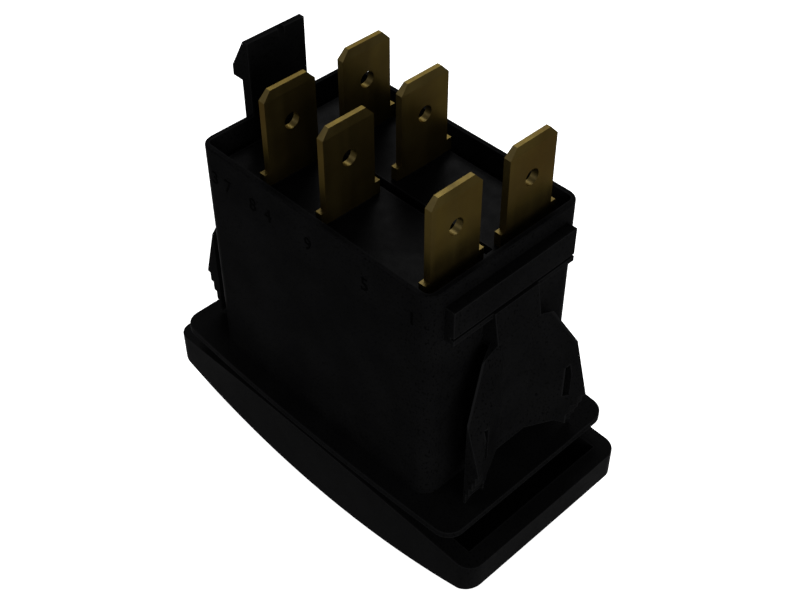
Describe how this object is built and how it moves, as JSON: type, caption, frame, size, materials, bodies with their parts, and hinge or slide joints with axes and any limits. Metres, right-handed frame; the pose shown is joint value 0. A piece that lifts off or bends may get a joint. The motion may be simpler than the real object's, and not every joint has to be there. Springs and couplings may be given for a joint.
{
  "type": "panel rocker switch",
  "caption": "Snap-in panel rocker switch with a wide curved paddle, centre off, flat tab terminals in an open well and a barbed connector tongue.",
  "frame": {"origin": "centre of the flange face that bears on the panel", "axes": "+Z out of the panel's back towards the terminals, +X along the long side away from the connector tongue, +Y across"},
  "size_m": [0.0482, 0.0256, 0.048],
  "materials": {
    "housing_black": "satin",
    "base_black": "satin",
    "tab_brass": "rolled and slightly dull",
    "contact_silver": "satin",
    "blade_copper": "satin",
    "plunger_nylon": "satin",
    "spring_steel": "drawn wire",
    "carrier_black": "satin",
    "paddle_black": "satin"
  },
  "bodies": {
    "housing": {"housing_shell": "housing_black", "terminal_base": "base_black", "terminal_first_left": "tab_brass", "terminal_common_left": "tab_brass", "terminal_third_left": "tab_brass", "fixed_contact_first_left": "contact_silver", "fixed_contact_third_left": "contact_silver", "terminal_first_right": "tab_brass", "terminal_common_right": "tab_brass", "terminal_third_right": "tab_brass", "fixed_contact_first_right": "contact_silver", "fixed_contact_third_right": "contact_silver"},
    "rocker": {"rocker_carrier": "carrier_black", "rocker_paddle": "paddle_black", "plunger_spring_left": "spring_steel", "plunger_spring_right": "spring_steel"},
    "blade_left": {"contact_blade_left": "blade_copper", "moving_contact_first_left": "contact_silver", "moving_contact_third_left": "contact_silver"},
    "plunger_left": {"plunger_left": "plunger_nylon"},
    "blade_right": {"contact_blade_right": "blade_copper", "moving_contact_first_right": "contact_silver", "moving_contact_third_right": "contact_silver"},
    "plunger_right": {"plunger_right": "plunger_nylon"}
  },
  "joints": [
    {"name": "rocker_hinge", "type": "hinge", "parent": "housing", "child": "rocker", "pos_m": [0, 0, 0.0031], "axis": [0, 1, 0], "range_deg": [-7, 7]},
    {"name": "blade_rock_left", "type": "hinge", "parent": "housing", "child": "blade_left", "pos_m": [0, -0.00498, 0.01858], "axis": [0, 1, 0], "range_deg": [-7, 7]},
    {"name": "plunger_slide_left", "type": "slide", "parent": "rocker", "child": "plunger_left", "axis": [0, 0, 1], "range_m": [-0.001, 0], "stiffness_N_per_m": 100, "springref_m": 0.003, "deforming": ["plunger_spring_left"]},
    {"name": "blade_rock_right", "type": "hinge", "parent": "housing", "child": "blade_right", "pos_m": [0, 0.00498, 0.01858], "axis": [0, 1, 0], "range_deg": [-7, 7]},
    {"name": "plunger_slide_right", "type": "slide", "parent": "rocker", "child": "plunger_right", "axis": [0, 0, 1], "range_m": [-0.001, 0], "stiffness_N_per_m": 100, "springref_m": 0.003, "deforming": ["plunger_spring_right"]}
  ],
  "couplings": [
    {"joint": "blade_rock_left", "follows": "rocker_hinge", "ratio": -1},
    {"joint": "blade_rock_right", "follows": "rocker_hinge", "ratio": -1}
  ]
}
